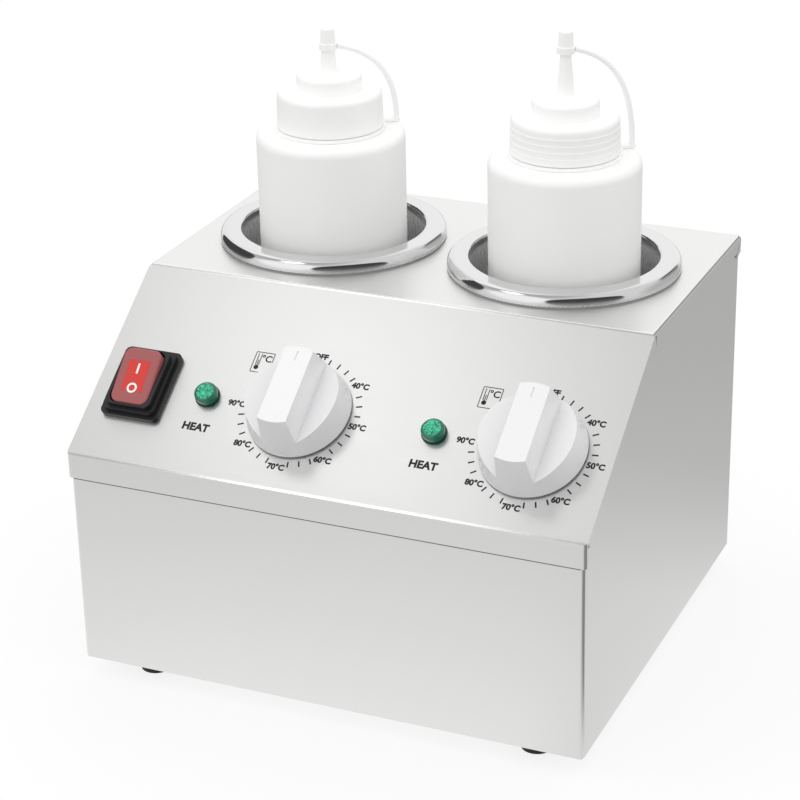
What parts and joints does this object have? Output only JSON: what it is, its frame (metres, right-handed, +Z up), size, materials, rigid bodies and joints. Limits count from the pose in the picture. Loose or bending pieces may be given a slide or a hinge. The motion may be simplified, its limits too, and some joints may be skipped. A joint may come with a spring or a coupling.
{
  "type": "twin topping warmer",
  "caption": "Sloped-front stainless countertop warmer with round heated wells for squeeze bottles, dial knobs, pilot lamps and a rocker switch.",
  "frame": {"origin": "on the floor plane, at the centre of the whole object's box seen from above", "axes": "+Z up, -Y to the front with the knobs, +X to the right as seen from the front"},
  "size_m": [0.26, 0.2498, 0.3003],
  "materials": {
    "stainless": "satin stainless sheet",
    "well_steel": "drawn stainless, rim polished bright",
    "screw_steel": "bright plated steel",
    "gasket": "grey silicone rubber",
    "heater": "mica band in a steel jacket",
    "insulation": "ceramic fibre blanket",
    "cutout": "phenolic",
    "copper": "drawn copper",
    "brass": "turned brass",
    "thermostat": "moulded phenolic",
    "spindle": "turned steel",
    "knob": "glossy pale grey moulding",
    "black_nylon": "black nylon",
    "terminal": "cream polyamide",
    "rocker": "dull red moulding",
    "rocker_window": "bright red translucent window",
    "pilot": "green faceted lens",
    "foot_rubber": "black rubber",
    "bottle": "natural translucent polyethylene"
  },
  "bodies": {
    "housing": {"base_plate": "stainless", "base_screws": "screw_steel", "body_wrap": "stainless", "bulb_clips": "screw_steel", "bulb_left": "copper", "bulb_right": "copper", "capillary_left": "copper", "capillary_right": "copper", "cover": "stainless", "cover_screws": "screw_steel", "cutout_left": "cutout", "cutout_right": "cutout", "earth_nuts": "brass", "earth_stud": "brass", "feet": "foot_rubber", "foot_nuts": "screw_steel", "foot_screws": "screw_steel", "gland_body": "black_nylon", "gland_locknut": "screw_steel", "gland_nut": "black_nylon", "heater_left": "heater", "heater_right": "heater", "insulation_left": "insulation", "insulation_right": "insulation", "pilot_clips": "screw_steel", "pilot_holder_left": "black_nylon", "pilot_holder_right": "black_nylon", "pilot_lens_left": "pilot", "pilot_lens_right": "pilot", "rear_panel": "stainless", "rear_screws": "screw_steel", "support_bracket": "stainless", "switch_bezel": "black_nylon", "switch_body": "black_nylon", "terminal_block": "terminal", "terminal_screws": "screw_steel", "thermostat_left": "thermostat", "thermostat_right": "thermostat", "thermostat_screws": "screw_steel", "well_gasket_left": "gasket", "well_gasket_right": "gasket", "well_left": "well_steel", "well_nuts": "screw_steel", "well_right": "well_steel"},
    "knob_left": {"knob_left": "knob", "spindle_left": "spindle"},
    "bottle_left": {"bottle_left": "bottle"},
    "lid_left": {"lid_left": "bottle", "neck_ring_left": "bottle", "strap_left": "bottle"},
    "tip_cap_left": {"tip_cap_left": "bottle"},
    "knob_right": {"knob_right": "knob", "spindle_right": "spindle"},
    "bottle_right": {"bottle_right": "bottle"},
    "lid_right": {"lid_right": "bottle", "neck_ring_right": "bottle", "strap_right": "bottle"},
    "tip_cap_right": {"tip_cap_right": "bottle"},
    "rocker": {"rocker": "rocker", "rocker_lens": "rocker_window"}
  },
  "joints": [
    {"name": "knob_left_turn", "type": "hinge", "parent": "housing", "child": "knob_left", "pos_m": [-0.0235, -0.09019, 0.14345], "axis": [0, -0.5753, 0.818], "range_deg": [-268, 0]},
    {"name": "bottle_left_lift", "type": "slide", "parent": "housing", "child": "bottle_left", "axis": [0, 0, 1], "range_m": [0, 0.135]},
    {"name": "lid_left_lift", "type": "slide", "parent": "bottle_left", "child": "lid_left", "axis": [0, 0, 1], "range_m": [0, 0.025]},
    {"name": "tip_cap_left_pull", "type": "slide", "parent": "lid_left", "child": "tip_cap_left", "axis": [0, 0, 1], "range_m": [0, 0.012], "deforming": ["strap_left"]},
    {"name": "knob_right_turn", "type": "hinge", "parent": "housing", "child": "knob_right", "pos_m": [0.092, -0.09019, 0.14345], "axis": [0, -0.5753, 0.818], "range_deg": [-268, 0]},
    {"name": "bottle_right_lift", "type": "slide", "parent": "housing", "child": "bottle_right", "axis": [0, 0, 1], "range_m": [0, 0.135]},
    {"name": "lid_right_lift", "type": "slide", "parent": "bottle_right", "child": "lid_right", "axis": [0, 0, 1], "range_m": [0, 0.025]},
    {"name": "tip_cap_right_pull", "type": "slide", "parent": "lid_right", "child": "tip_cap_right", "axis": [0, 0, 1], "range_m": [0, 0.012], "deforming": ["strap_right"]},
    {"name": "rocker_tilt", "type": "hinge", "parent": "housing", "child": "rocker", "pos_m": [-0.106, -0.09375, 0.14852], "axis": [1, 0, 0], "range_deg": [-18, 0]}
  ]
}
